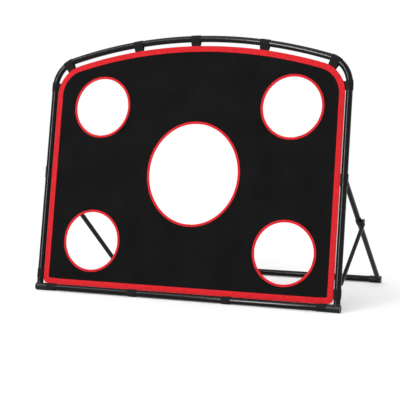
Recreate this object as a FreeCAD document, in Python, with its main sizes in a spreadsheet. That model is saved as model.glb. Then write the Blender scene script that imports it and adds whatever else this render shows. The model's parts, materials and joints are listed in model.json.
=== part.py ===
import FreeCAD, Part
import math
import os
import re

import Sketcher

# A golf chipping net: an arched tube frame that leans back on a folding rear stand
# and carries a target sheet with five holes.
#
# +X is to the right as the player sees it, the player stands toward -Y, +Z is up.
# The origin is on the floor, midway between the front rail and the rear bar.
# The frame is drawn flat in its own plane and then leaned back: in that plane x runs
# across, "up" runs from the rail's axis to the top, "back" is square to the plane.
# Left-hand pieces are mirror images of the right-hand ones.

# Driving sizes, in millimetres and degrees.
SIZES = [
    # The frame in its plane, measured on the tubes' centre lines
    ("recline", 10.39),
    ("frame_width", 1200),
    ("frame_height", 976),
    ("arch_radius", 1820),
    ("corner_radius", 110),
    ("upright_joint_up", 510),
    ("arch_leg", 27.8),
    # The rear stand
    ("stand_depth", 660),
    ("pivot_up", 450),
    ("pivot_back", 27),
    # Tubes
    ("tube_diameter", 25),
    ("strut_diameter", 20),
    ("brace_diameter", 15),
    ("tube_wall", 1.2),
    ("sleeve_length", 50),
    # Clearances
    ("fit_gap", 0.1),
    ("turn_gap", 0.05),
    ("seat_gap", 0.3),
    # Floor tees and their end caps
    ("tee_wall", 1.9),
    ("front_tee_reach", 13.5),
    ("rear_tee_reach", 12),
    ("tee_inner_length", 35),
    ("tee_shoulder", 17),
    ("spigot_length", 35),
    ("sole_depth", 0.4),
    ("cap_thickness", 5),
    # Sheet and bindings
    ("sheet_forward", 0),
    ("sheet_thickness", 1.6),
    ("binding_thickness", 0.8),
    ("border_width", 22),
    ("border_side_inset", 14.3),
    ("border_bottom_inset", 14.8),
    ("border_top_inset", 27),
    ("border_top_corner", 121),
    ("border_bottom_corner", 18),
    ("mitre_corner", 1),
    # Holes in the sheet
    ("hole_radius", 111.8),
    ("top_left_inset", 217.1),
    ("top_left_drop", 261.9),
    ("top_right_inset", 208.3),
    ("top_right_drop", 259.8),
    ("bottom_left_inset", 213.9),
    ("bottom_left_up", 189.6),
    ("bottom_right_inset", 206.2),
    ("bottom_right_up", 183.4),
    ("centre_hole_shift", 19.1),
    ("centre_hole_drop", 27.3),
    ("centre_hole_half_width", 179.4),
    ("centre_hole_half_height", 189.9),
    ("hole_binding_width", 9),
    # Webbing straps
    ("strap_width", 36),
    ("strap_thickness", 1.2),
    ("strap_hem", 0.5),
    ("corner_strap_turn_left", 14.5),
    ("corner_strap_turn_right", 14.3),
    ("corner_strap_reach", 51.2),
    ("arch_strap_left", 244),
    ("arch_strap_middle", 4),
    ("arch_strap_right", 274),
    ("side_strap_low", 51),
    ("rail_strap_inset", 54),
    ("rail_strap_left", 195),
    ("rail_strap_right", 186),
    # Clamp bracket that carries the strut
    ("clamp_over_pivot", 4),
    ("clamp_length", 45),
    ("clamp_wall", 2.6),
    ("clamp_front", 3),
    ("ear_radius", 8.5),
    ("ear_thickness", 3),
    ("clevis_floor", 4.1),
    # Strut head and its bolt
    ("head_radius", 8),
    ("head_thickness", 8),
    ("neck_length", 14.5),
    ("flange_thickness", 2.5),
    ("plug_length", 28),
    ("bolt_diameter", 6),
    ("bolt_head_diameter", 10),
    ("bolt_head_thickness", 2.5),
    # Collar on the strut and the brace's upper pivot
    ("collar_from_pivot", 261.2),
    ("collar_length", 24),
    ("collar_wall", 1.9),
    ("boss_radius", 8),
    ("boss_face", 13.2),
    ("brace_offset", 19.8),
    ("eye_radius", 9.5),
    ("eye_thickness", 5),
    ("eye_neck_width", 13),
    ("eye_neck_length", 16),
    ("washer_head_radius", 10.5),
    ("washer_head_thickness", 2.2),
    # Hook at the brace's lower end and the lug that holds its pin
    ("hook_up", 73),
    ("hook_back", 24),
    ("hook_radius", 7),
    ("hook_thickness", 3.6),
    ("hook_neck_width", 9),
    ("hook_neck_length", 22),
    ("hook_slot_width", 5.6),
    ("hook_slot_tilt", 7),
    ("pin_diameter", 5),
    ("lug_ear_thickness", 2.5),
    ("lug_slot_gap", 0.4),
    ("saddle_wall", 1.8),
    ("saddle_below_pin", 2),
    ("saddle_length", 48),
    ("saddle_front", 10.2),
    ("lug_height", 22),
    ("lug_reach", 6.5),
    # Rivets
    ("rivet_diameter", 3.2),
    ("rivet_head_diameter", 6.4),
    ("rivet_head_thickness", 1),
    ("clamp_rivet_above", 16.5),
    ("clamp_rivet_below", 17.5),
    ("saddle_rivet_first", 29),
    ("saddle_rivet_step", 11),
]

# Sizes and places that follow from the driving ones. A later line may use an earlier one.
PLACES = [
    ("half_width", "Sizes.frame_width / 2"),
    ("half_depth", "Sizes.stand_depth / 2"),
    ("tube_radius", "Sizes.tube_diameter / 2"),
    ("tube_bore", "tube_radius - Sizes.tube_wall"),
    ("tee_bore", "tube_radius + Sizes.fit_gap"),
    ("tee_radius", "tee_bore + Sizes.tee_wall"),
    ("axis_height", "tee_radius - Sizes.sole_depth"),
    ("arch_centre_up", "Sizes.frame_height - Sizes.arch_radius"),
    ("bend_centre_out", "half_width - Sizes.corner_radius"),
    ("arch_to_bend", "Sizes.arch_radius - Sizes.corner_radius"),
    ("bend_rise", "sqrt(arch_to_bend ^ 2 - bend_centre_out ^ 2)"),
    ("arch_sweep", "atan2(bend_centre_out; bend_rise)"),
    ("bend_sweep", "90 deg - arch_sweep"),
    ("bend_centre_up", "arch_centre_up + bend_rise"),
    ("arch_joint_up", "bend_centre_up - Sizes.arch_leg"),
    ("centre_hole_up", "Sizes.frame_height / 2 - Sizes.centre_hole_drop"),
    ("pivot_y", "-half_depth + Sizes.pivot_back * cos(Sizes.recline) + Sizes.pivot_up * sin(Sizes.recline)"),
    ("pivot_z", "axis_height - Sizes.pivot_back * sin(Sizes.recline) + Sizes.pivot_up * cos(Sizes.recline)"),
    ("strut_run", "half_depth - pivot_y"),
    ("strut_rise", "pivot_z - axis_height"),
    ("strut_length", "sqrt(strut_run ^ 2 + strut_rise ^ 2)"),
    ("strut_lean", "atan2(strut_run; strut_rise)"),
    ("strut_radius", "Sizes.strut_diameter / 2"),
    ("collar_up_strut", "strut_length - Sizes.collar_from_pivot"),
    ("collar_y", "half_depth - collar_up_strut * sin(strut_lean)"),
    ("collar_z", "axis_height + collar_up_strut * cos(strut_lean)"),
    ("hook_y", "-half_depth + Sizes.hook_back * cos(Sizes.recline) + Sizes.hook_up * sin(Sizes.recline)"),
    ("hook_z", "axis_height - Sizes.hook_back * sin(Sizes.recline) + Sizes.hook_up * cos(Sizes.recline)"),
    ("brace_run", "collar_y - hook_y"),
    ("brace_rise", "collar_z - hook_z"),
    ("brace_reach", "sqrt(brace_run ^ 2 + brace_rise ^ 2)"),
    ("brace_turn", "atan2(brace_run; -brace_rise)"),
    ("brace_skew", "atan2(Sizes.brace_offset; brace_reach)"),
    ("brace_length", "sqrt(brace_reach ^ 2 + Sizes.brace_offset ^ 2)"),
    ("brace_radius", "Sizes.brace_diameter / 2"),
    ("brace_tube_length", "brace_length - Sizes.eye_neck_length - Sizes.hook_neck_length"),
    ("eye_inner_face", "Sizes.boss_face + Sizes.seat_gap"),
    ("head_inner_face", "eye_inner_face + Sizes.eye_thickness + Sizes.seat_gap"),
    ("border_side", "half_width - Sizes.border_side_inset"),
    ("border_top_radius", "Sizes.arch_radius - Sizes.border_top_inset"),
    ("border_depth", "Sizes.sheet_thickness + 2 * Sizes.binding_thickness"),
    ("sheet_back", "-Sizes.sheet_forward + Sizes.sheet_thickness / 2"),
    ("border_back", "-Sizes.sheet_forward + border_depth / 2"),
    ("strap_bore", "tube_radius + Sizes.seat_gap"),
    ("strap_radius", "strap_bore + Sizes.strap_thickness"),
    ("tongue_back", "border_back + Sizes.seat_gap + Sizes.strap_thickness"),
    ("clamp_bore", "tube_radius + Sizes.fit_gap"),
    ("clamp_radius", "clamp_bore + Sizes.clamp_wall"),
    ("clevis_half_gap", "Sizes.head_thickness / 2 + Sizes.seat_gap"),
    ("clevis_half_width", "clevis_half_gap + Sizes.ear_thickness"),
    ("clamp_up", "Sizes.pivot_up + Sizes.clamp_over_pivot"),
    ("bolt_radius", "Sizes.bolt_diameter / 2"),
    ("bolt_hole", "bolt_radius + Sizes.turn_gap"),
    ("rivet_hole", "Sizes.rivet_diameter / 2 + Sizes.turn_gap"),
    ("saddle_radius", "clamp_bore + Sizes.saddle_wall"),
    ("lug_half_gap", "Sizes.hook_thickness / 2 + Sizes.lug_slot_gap"),
    ("lug_half_width", "lug_half_gap + Sizes.lug_ear_thickness"),
    ("pin_radius", "Sizes.pin_diameter / 2"),
    ("hook_slot_turn", "(Sizes.recline - Sizes.hook_slot_tilt) * 1 deg + brace_turn - 90 deg"),
    ("clevis_floor_back", "tube_radius + Sizes.clevis_floor"),
]

X_AXIS = FreeCAD.Vector(1, 0, 0)
Y_AXIS = FreeCAD.Vector(0, 1, 0)
Z_AXIS = FreeCAD.Vector(0, 0, 1)
ORIGIN = FreeCAD.Vector(0, 0, 0)

doc = FreeCAD.newDocument("ChippingNet")
pieces = []


def fill_sheet(title, rows):
    """Makes a spreadsheet whose cells each carry one named value."""
    sheet = doc.addObject("Spreadsheet::Sheet", title)
    for row, (name, value) in enumerate(rows, start=1):
        cell = "B%d" % row
        sheet.set("A%d" % row, name)
        sheet.set(cell, str(value))
        sheet.setAlias(cell, name)
    return sheet


def formula(text):
    """Completes an expression: the names of PLACES are looked up in that sheet."""
    known = dict(PLACES)
    return re.sub(r"(?<![\w.])[a-z_]+", lambda word: ("Places." if word[0] in known else "") + word[0], text)


def value(text):
    """The number that an expression has now."""
    result = sizes.evalExpression(formula(text))
    return getattr(result, "Value", result)


def bind(thing, **properties):
    """Ties properties to expressions; a double underscore stands for a dot."""
    for name, text in properties.items():
        thing.setExpression(name.replace("__", "."), formula(text))


def keep(thing, label):
    """Names a finished sub-part and puts it on the list to write."""
    thing.Label = label
    pieces.append(thing)
    return thing


def set_place(thing, axis, angle, x, y, z):
    """Puts a piece at a place, turned about one axis, all tied to expressions."""
    thing.Placement = FreeCAD.Placement(ORIGIN, FreeCAD.Rotation(axis, 30))
    bind(thing, Placement__Base__x=x, Placement__Base__y=y, Placement__Base__z=z,
         Placement__Rotation__Angle=angle)


def lean(thing, x="0", up="0", back="0"):
    """Puts a piece that was drawn in the frame's plane where the leaning frame has it."""
    y = "-half_depth + (%s) * cos(Sizes.recline) + (%s) * sin(Sizes.recline)" % (back, up)
    z = "axis_height - (%s) * sin(Sizes.recline) + (%s) * cos(Sizes.recline)" % (back, up)
    set_place(thing, X_AXIS, "-Sizes.recline", x, y, z)


def on_strut(thing, up_strut="0", x="half_width"):
    """Puts a piece on the strut's line, at a distance up from the foot."""
    y = "half_depth - (%s) * sin(strut_lean)" % up_strut
    z = "axis_height + (%s) * cos(strut_lean)" % up_strut
    set_place(thing, X_AXIS, "strut_lean", x, y, z)


def on_brace(thing):
    """Puts a piece in the brace's frame: origin at its upper pivot, +Z toward the hook."""
    set_place(thing, X_AXIS, "brace_turn", "half_width + Sizes.brace_offset", "collar_y", "collar_z")


def plane_of(body, role):
    return next(item for item in body.Origin.OriginFeatures if item.Role == role)


def new_sketch(body, name, role, x="0", y="0", z="0"):
    """A sketch on one of the body's origin planes, moved by x and y in it and z off it."""
    sketch = body.newObject("Sketcher::SketchObject", name)
    sketch.AttachmentSupport = [(plane_of(body, role), "")]
    sketch.MapMode = "FlatFace"
    bind(sketch, AttachmentOffset__Base__x=x, AttachmentOffset__Base__y=y, AttachmentOffset__Base__z=z)
    return sketch


def constrain(sketch, text, *definition):
    """Adds a dimension to a sketch and ties it to an expression."""
    index = sketch.addConstraint(Sketcher.Constraint(*definition, value(text)))
    bind(sketch, **{"Constraints[%d]" % index: text})


def draw_circle(sketch, radius, x=None, y=None):
    """A circle on the sketch's origin, or at a place given by two distances from it."""
    centre = FreeCAD.Vector(value(x) if x else 0, value(y) if y else 0, 0)
    circle = sketch.addGeometry(Part.Circle(centre, Z_AXIS, value(radius)), False)
    if x is None:
        sketch.addConstraint(Sketcher.Constraint("Coincident", circle, 3, -1, 1))
    else:
        constrain(sketch, x, "DistanceX", -1, 1, circle, 3)
        constrain(sketch, y, "DistanceY", -1, 1, circle, 3)
    constrain(sketch, radius, "Radius", circle)
    return circle


def draw_polygon(sketch, corners):
    """A closed polygon whose corners are pairs of expressions."""
    points = [FreeCAD.Vector(value(x), value(y), 0) for x, y in corners]
    lines = []
    for start, end in zip(points, points[1:] + points[:1]):
        lines.append(sketch.addGeometry(Part.LineSegment(start, end), False))
    for line, following in zip(lines, lines[1:] + lines[:1]):
        sketch.addConstraint(Sketcher.Constraint("Coincident", line, 2, following, 1))
    for line, (x, y) in zip(lines, corners):
        constrain(sketch, x, "DistanceX", -1, 1, line, 1)
        constrain(sketch, y, "DistanceY", -1, 1, line, 1)


def pad(body, sketch, length, backward=False, both_ways=False):
    feature = body.newObject("PartDesign::Pad", sketch.Name + "Pad")
    feature.Profile = sketch
    bind(feature, Length=length)
    feature.Reversed = backward
    feature.Midplane = both_ways
    sketch.Visibility = False
    return feature


def pocket(body, sketch, depth=None):
    """Cuts a sketch through the whole body both ways, or to a depth behind its plane."""
    feature = body.newObject("PartDesign::Pocket", sketch.Name + "Pocket")
    feature.Profile = sketch
    if depth:
        bind(feature, Length=depth)
    else:
        feature.Type = "ThroughAll"
        feature.Midplane = True
    return feature


def revolve(body, sketch, axis, angle, backward):
    feature = body.newObject("PartDesign::Revolution", sketch.Name + "Turn")
    feature.Profile = sketch
    feature.ReferenceAxis = axis
    bind(feature, Angle=angle)
    feature.Reversed = backward
    return feature


def ring_sketch(body, name, role, outer, wall, **offset):
    sketch = new_sketch(body, name, role, **offset)
    draw_circle(sketch, outer)
    draw_circle(sketch, "(%s) - (%s)" % (outer, wall))
    return sketch


def tube(name, role, outer, wall, length):
    """A straight round tube that starts on an origin plane of its own body."""
    body = doc.addObject("PartDesign::Body", name)
    pad(body, ring_sketch(body, name + "Ring", role, outer, wall), length)
    return body


def cylinder(name, radius, length, axis="z", x="0", y="0", z="0"):
    """A plain cylinder along one axis, starting at the given place."""
    item = doc.addObject("Part::Cylinder", name)
    turned = {"x": (Y_AXIS, 90), "y": (X_AXIS, -90), "z": (Z_AXIS, 0)}[axis]
    item.Placement = FreeCAD.Placement(ORIGIN, FreeCAD.Rotation(*turned))
    bind(item, Radius=radius, Height=length, Placement__Base__x=x, Placement__Base__y=y, Placement__Base__z=z)
    return item


def tilted_cylinder(name, radius, length, axis, angle):
    """A cylinder from the origin, leaning away from +Z by an angle about an axis."""
    item = doc.addObject("Part::Cylinder", name)
    item.Placement = FreeCAD.Placement(ORIGIN, FreeCAD.Rotation(axis, 30))
    bind(item, Radius=radius, Height=length, Placement__Rotation__Angle=angle)
    return item


def block(name, x, y, z, across, deep, high):
    """A box with one corner at x, y, z."""
    item = doc.addObject("Part::Box", name)
    bind(item, Length=across, Width=deep, Height=high,
         Placement__Base__x=x, Placement__Base__y=y, Placement__Base__z=z)
    return item


def join(name, items):
    fused = doc.addObject("Part::MultiFuse", name)
    fused.Shapes = items
    return fused


def cut(name, base, tools):
    if len(tools) > 1:
        tools = [join(name + "Tools", tools)]
    result = doc.addObject("Part::Cut", name)
    result.Base = base
    result.Tool = tools[0]
    return result


def mirrored(name, source):
    twin = doc.addObject("Part::Mirroring", name)
    twin.Source = source
    twin.Normal = X_AXIS
    twin.Base = ORIGIN
    return twin


def group(label, items):
    """Several identical small pieces that share one node."""
    together = doc.addObject("Part::Compound", label)
    together.Links = items
    return keep(together, label)


def pair(label, right_piece):
    """Keeps a right-hand piece and its mirror image as two sub-parts."""
    keep(right_piece, label + "_right")
    keep(mirrored(label + "_left_piece", right_piece), label + "_left")


def mirrored_group(label, right_piece):
    """Keeps a small right-hand piece and its mirror image as one sub-part."""
    group(label, [right_piece, mirrored(label + "_twin", right_piece)])


def floor_bar(label, sleeve_label, cap_label, side, reach):
    """A bar along the floor: two half tubes, the sleeve inside their joint and the end caps."""
    half_length = "half_width + %s - Sizes.cap_thickness" % reach
    half = tube(label + "_half", "YZ_Plane", "tube_radius", "Sizes.tube_wall", half_length)
    set_place(half, X_AXIS, "0", "0", side + "half_depth", "axis_height")
    pair(label, half)

    sleeve = tube(sleeve_label + "_tube", "YZ_Plane", "tube_bore - Sizes.fit_gap", "Sizes.tube_wall",
                  "Sizes.sleeve_length")
    set_place(sleeve, X_AXIS, "0", "-Sizes.sleeve_length / 2", side + "half_depth", "axis_height")
    keep(sleeve, sleeve_label)

    cap = cylinder(cap_label + "_right", "tube_radius", "Sizes.cap_thickness", "x",
                   half_length, side + "half_depth", "axis_height")
    mirrored_group(cap_label, cap)


def floor_tee(label, side, reach, branch_radius, spigot_radius, axis_angle):
    """A moulded tee: a run over the bar, a shoulder flush with the branch tube and a spigot
    up inside it, with a flat sole to stand on."""
    run_length = "Sizes.tee_inner_length + " + reach
    run = cylinder(label + "Run", "tee_radius", run_length, "x", "-Sizes.tee_inner_length")
    shoulder = tilted_cylinder(label + "Shoulder", branch_radius, "Sizes.tee_shoulder", X_AXIS, axis_angle)
    spigot = tilted_cylinder(label + "Spigot", spigot_radius, "Sizes.tee_shoulder + Sizes.spigot_length",
                             X_AXIS, axis_angle)
    bore = cylinder(label + "Bore", "tee_bore", "2 * (%s)" % run_length, "x", "-(%s)" % run_length)
    under = block(label + "Under", "-(%s)" % run_length, "-tee_radius", "-2 * tee_radius",
                  "2 * (%s)" % run_length, "2 * tee_radius", "2 * tee_radius - axis_height")
    tee = cut(label + "Tee", join(label + "Solid", [run, shoulder, spigot]), [bore, under])
    set_place(tee, X_AXIS, "0", "half_width", side + "half_depth", "axis_height")
    pair(label, tee)


def uprights():
    """The two straight lengths of each upright and the sleeves inside their joints."""
    lower = tube("upright_lower_tube", "XY_Plane", "tube_radius", "Sizes.tube_wall",
                 "Sizes.upright_joint_up - Sizes.tee_shoulder")
    lean(lower, "half_width", "Sizes.tee_shoulder")
    pair("upright_lower", lower)

    upper = tube("upright_upper_tube", "XY_Plane", "tube_radius", "Sizes.tube_wall",
                 "arch_joint_up - Sizes.upright_joint_up")
    lean(upper, "half_width", "Sizes.upright_joint_up")
    pair("upright_upper", upper)

    sleeves = []
    for number, joint in enumerate(("Sizes.upright_joint_up", "arch_joint_up")):
        sleeve = tube("upright_sleeve_%d" % number, "XY_Plane", "tube_bore - Sizes.fit_gap",
                      "Sizes.tube_wall", "Sizes.sleeve_length")
        lean(sleeve, "half_width", joint + " - Sizes.sleeve_length / 2")
        sleeves += [sleeve, mirrored("upright_sleeve_twin_%d" % number, sleeve)]
    group("upright_sleeves", sleeves)


def arch():
    """Half of the arched top with its corner bend, drawn from the arch's centre, and the
    sleeve inside the joint at the middle."""
    half = doc.addObject("PartDesign::Body", "arch_half")
    crown = ring_sketch(half, "CrownRing", "YZ_Plane", "tube_radius", "Sizes.tube_wall",
                        y="Sizes.arch_radius")
    revolve(half, crown, (plane_of(half, "Y_Axis"), [""]), "arch_sweep", False)

    bend = ring_sketch(half, "BendRing", "XY_Plane", "tube_radius", "Sizes.tube_wall",
                       x="half_width", z="bend_rise")
    radius = value("Sizes.corner_radius")
    low, high = FreeCAD.Vector(-radius, -radius, 0), FreeCAD.Vector(-radius, radius, 0)
    line = bend.addGeometry(Part.LineSegment(low, high), True)
    bend.addConstraint(Sketcher.Constraint("Vertical", line))
    constrain(bend, "Sizes.corner_radius", "DistanceX", line, 1, -1, 1)
    revolve(half, bend, (bend, ["Axis0"]), "bend_sweep", True)

    straight = ring_sketch(half, "StraightRing", "XY_Plane", "tube_radius", "Sizes.tube_wall",
                           x="half_width", z="bend_rise")
    pad(half, straight, "bend_centre_up - arch_joint_up", backward=True)
    lean(half, "0", "arch_centre_up")
    pair("arch", half)

    sleeve = doc.addObject("PartDesign::Body", "arch_sleeve_tube")
    ring = ring_sketch(sleeve, "SleeveRing", "YZ_Plane", "tube_bore - Sizes.fit_gap", "Sizes.tube_wall",
                       y="Sizes.arch_radius")
    turn = revolve(sleeve, ring, (plane_of(sleeve, "Y_Axis"), [""]),
                   "Sizes.sleeve_length / Sizes.arch_radius * 180 / pi", False)
    turn.Midplane = True
    lean(sleeve, "0", "arch_centre_up")
    keep(sleeve, "arch_sleeve")


def draw_outline(sketch, inset, bottom_corner):
    """The sheet's outline, drawn in from the border's outer edge by an inset: straight sides
    and bottom, an arched top, and rounded corners."""
    side = "border_side - (%s)" % inset
    bottom = "Sizes.border_bottom_inset + (%s)" % inset
    top_radius = "border_top_radius - (%s)" % inset
    corner = "Sizes.border_top_corner - (%s)" % inset
    s, b, top, r, q = [value(text) for text in (side, bottom, top_radius, corner, bottom_corner)]
    centre_up = value("arch_centre_up")
    corner_out = s - r
    corner_up = centre_up + math.sqrt((top - r) ** 2 - corner_out ** 2)
    angle = math.atan2(corner_up - centre_up, corner_out)

    def line(x0, y0, x1, y1):
        ends = FreeCAD.Vector(x0, y0, 0), FreeCAD.Vector(x1, y1, 0)
        return sketch.addGeometry(Part.LineSegment(*ends), False)

    def arc(x, y, radius, start, end):
        circle = Part.Circle(FreeCAD.Vector(x, y, 0), Z_AXIS, radius)
        return sketch.addGeometry(Part.ArcOfCircle(circle, start, end), False)

    quarter = math.pi / 2
    run = [
        line(-s + q, b, s - q, b),
        arc(s - q, b + q, q, -quarter, 0),
        line(s, b + q, s, corner_up),
        arc(corner_out, corner_up, r, 0, angle),
        arc(0, centre_up, top, angle, math.pi - angle),
        arc(-corner_out, corner_up, r, math.pi - angle, math.pi),
        line(-s, corner_up, -s, b + q),
        arc(-s + q, b + q, q, math.pi, math.pi + quarter),
    ]
    for first, second in zip(run, run[1:] + run[:1]):
        sketch.addConstraint(Sketcher.Constraint("Tangent", first, 2, second, 1))
    base, low_right, right, high_right, crown, high_left, left, low_left = run
    sketch.addConstraint(Sketcher.Constraint("Horizontal", base))
    sketch.addConstraint(Sketcher.Constraint("PointOnObject", crown, 3, -2))
    constrain(sketch, side, "DistanceX", -1, 1, right, 1)
    constrain(sketch, side, "DistanceX", left, 1, -1, 1)
    constrain(sketch, bottom, "DistanceY", -1, 1, base, 1)
    constrain(sketch, "-arch_centre_up", "DistanceY", crown, 3, -1, 1)
    constrain(sketch, top_radius, "Radius", crown)
    constrain(sketch, corner, "Radius", high_right)
    constrain(sketch, corner, "Radius", high_left)
    constrain(sketch, bottom_corner, "Radius", low_right)
    constrain(sketch, bottom_corner, "Radius", low_left)


# The four round holes: their node's name, the side they are on and their two distances.
ROUND_HOLES = [
    ("top_left", "-", "(half_width - Sizes.top_left_inset)", "Sizes.frame_height - Sizes.top_left_drop"),
    ("top_right", "", "(half_width - Sizes.top_right_inset)", "Sizes.frame_height - Sizes.top_right_drop"),
    ("bottom_left", "-", "(half_width - Sizes.bottom_left_inset)", "Sizes.bottom_left_up"),
    ("bottom_right", "", "(half_width - Sizes.bottom_right_inset)", "Sizes.bottom_right_up"),
]


def oval(name, growth, depth):
    """A slab with the centre hole's oval outline, grown by a margin, in the frame's plane."""
    edge = doc.addObject("Part::Ellipse", name + "Edge")
    bind(edge, MajorRadius="Sizes.centre_hole_half_height + (%s)" % growth,
         MinorRadius="Sizes.centre_hole_half_width + (%s)" % growth)
    upright = FreeCAD.Rotation(X_AXIS, 90).multiply(FreeCAD.Rotation(Z_AXIS, 90))
    edge.Placement = FreeCAD.Placement(ORIGIN, upright)
    slab = doc.addObject("Part::Extrusion", name)
    slab.Base = edge
    slab.DirMode = "Custom"
    slab.Dir = FreeCAD.Vector(0, -1, 0)
    bind(slab, LengthFwd=depth)
    slab.Solid = True
    return slab


def sheet_and_bindings():
    """The target sheet, the tape round its edge and the tape round each hole. Each tape
    wraps the sheet's edge, so it is a thicker slab with the sheet cut out of it."""
    blank = doc.addObject("PartDesign::Body", "sheet_blank")
    outline = new_sketch(blank, "SheetOutline", "XZ_Plane")
    draw_outline(outline, "Sizes.binding_thickness", "Sizes.border_bottom_corner - Sizes.binding_thickness")
    pad(blank, outline, "Sizes.sheet_thickness")
    holes = new_sketch(blank, "SheetHoles", "XZ_Plane")
    for name, sign, out, up in ROUND_HOLES:
        draw_circle(holes, "Sizes.hole_radius + Sizes.binding_thickness", sign + out, up)
    pocket(blank, holes)
    lean(blank, back="sheet_back")
    centre = oval("SheetOval", "Sizes.binding_thickness", "4 * border_depth")
    lean(centre, "Sizes.centre_hole_shift", "centre_hole_up", "2 * border_depth")
    sheet = cut("sheet_with_holes", blank, [centre])
    keep(sheet, "target_sheet")

    border = doc.addObject("PartDesign::Body", "border_blank")
    outer = new_sketch(border, "BorderOuter", "XZ_Plane")
    draw_outline(outer, "0", "Sizes.border_bottom_corner")
    pad(border, outer, "border_depth")
    inner = new_sketch(border, "BorderInner", "XZ_Plane")
    draw_outline(inner, "Sizes.border_width", "Sizes.mitre_corner")
    pocket(border, inner)
    lean(border, back="border_back")
    keep(cut("border_tape", border, [sheet]), "border_binding")

    for name, sign, out, up in ROUND_HOLES:
        ring = tube("ring_" + name, "XZ_Plane", "Sizes.hole_radius + Sizes.hole_binding_width",
                    "Sizes.hole_binding_width", "border_depth")
        lean(ring, sign + out, up, "border_back")
        keep(cut("tape_" + name, ring, [sheet]), "hole_binding_" + name)

    outer_oval = oval("OvalOuter", "Sizes.hole_binding_width", "border_depth")
    inner_oval = oval("OvalInner", "0", "border_depth")
    ring = cut("ring_centre", outer_oval, [inner_oval])
    lean(ring, "Sizes.centre_hole_shift", "centre_hole_up", "border_back")
    keep(cut("tape_centre", ring, [sheet]), "hole_binding_centre")


def strap(name, turn, x, up, reach, bent=()):
    """A webbing loop round a tube with its sewn tongue lying behind the border. It is drawn
    round a tube along Z with the tongue toward -X, then turned in the frame's plane. The
    halves of the loop that are named as bent curve along with the corner bend."""
    half = "Sizes.strap_width / 2"
    rings = (("Loop", "strap_radius", half), ("Bore", "strap_bore", "Sizes.strap_width"))
    if bent:
        ways = ("Down", "Up")
        outside, inside = [[half_loop(name + ring, radius, length, way, way in bent) for way in ways]
                           for ring, radius, length in rings]
    else:
        outside, inside = [[cylinder(name + ring, radius, "Sizes.strap_width", z="-(%s)" % half)]
                           for ring, radius, length in rings]
    tongue = block(name + "Tongue", "-(%s)" % reach, "tongue_back - Sizes.strap_thickness", "-(%s)" % half,
                   "(%s) - strap_bore" % reach, "Sizes.strap_thickness", "Sizes.strap_width")
    loop = cut(name, join(name + "Solid", outside + [tongue]), inside)
    set_place(loop, Y_AXIS, turn, x, "0", up)
    return loop


def half_loop(name, radius, length, way, bent):
    """A round bar from the origin, down or up over a length, straight or along the corner bend."""
    if not bent:
        return cylinder(name + way, radius, length, z="-(%s)" % length if way == "Down" else "0")
    bar = doc.addObject("Part::Torus", name + way)
    bar.Placement = FreeCAD.Placement(ORIGIN, FreeCAD.Rotation(X_AXIS, -90 if way == "Down" else 90))
    bind(bar, Radius1="Sizes.corner_radius", Radius2=radius, Placement__Base__x="-Sizes.corner_radius",
         Angle3="%s / Sizes.corner_radius * 180 / pi" % length)
    return bar


def corner_strap(name, past_arch):
    """A strap on the right-hand corner bend, by its turn round the bend past the arch's end."""
    turn = "arch_sweep + %s" % past_arch
    return strap(name, turn + " - 90 deg", "bend_centre_out + Sizes.corner_radius * sin(%s)" % turn,
                 "bend_centre_up + Sizes.corner_radius * cos(%s)" % turn, "Sizes.corner_strap_reach",
                 bent=("Down", "Up"))


def straps():
    """The straps that tie the sheet's border to the frame, side by side."""
    hem = "Sizes.border_width - Sizes.strap_hem"
    top_reach = "Sizes.border_top_inset + " + hem
    on_arch = [
        corner_strap("StrapCornerRight", "Sizes.corner_strap_turn_right * 1 deg"),
        mirrored("StrapCornerLeft", corner_strap("StrapCorner", "Sizes.corner_strap_turn_left * 1 deg")),
    ]
    for name, out in (("StrapArchLeft", "-Sizes.arch_strap_left"),
                      ("StrapArchMiddle", "-Sizes.arch_strap_middle"),
                      ("StrapArchRight", "Sizes.arch_strap_right")):
        angle = "asin(%s / Sizes.arch_radius)" % out
        on_arch.append(strap(name, angle + " - 90 deg", out,
                             "arch_centre_up + Sizes.arch_radius * cos(%s)" % angle, top_reach))
    lean(group("top_straps", on_arch))

    # The upper side strap sits where the upright turns into the bend
    side_reach = "Sizes.border_side_inset + " + hem
    spots = (("High", "bend_centre_up", ("Up",)), ("Low", "Sizes.side_strap_low", ()))
    on_side = [strap("StrapSide" + name, "0", "half_width", up, side_reach, bent) for name, up, bent in spots]
    right = doc.addObject("Part::Compound", "right_side_straps")
    right.Links = on_side
    lean(right)
    pair("side_straps", right)

    bottom_reach = "Sizes.border_bottom_inset + " + hem
    on_rail = []
    far = "half_width - Sizes.rail_strap_inset"
    for name, out in (("FarLeft", "-(%s)" % far), ("Left", "-Sizes.rail_strap_left"),
                      ("Right", "Sizes.rail_strap_right"), ("FarRight", far)):
        on_rail.append(strap("StrapRail" + name, "90", out, "0", bottom_reach))
    lean(group("bottom_straps", on_rail))


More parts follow.
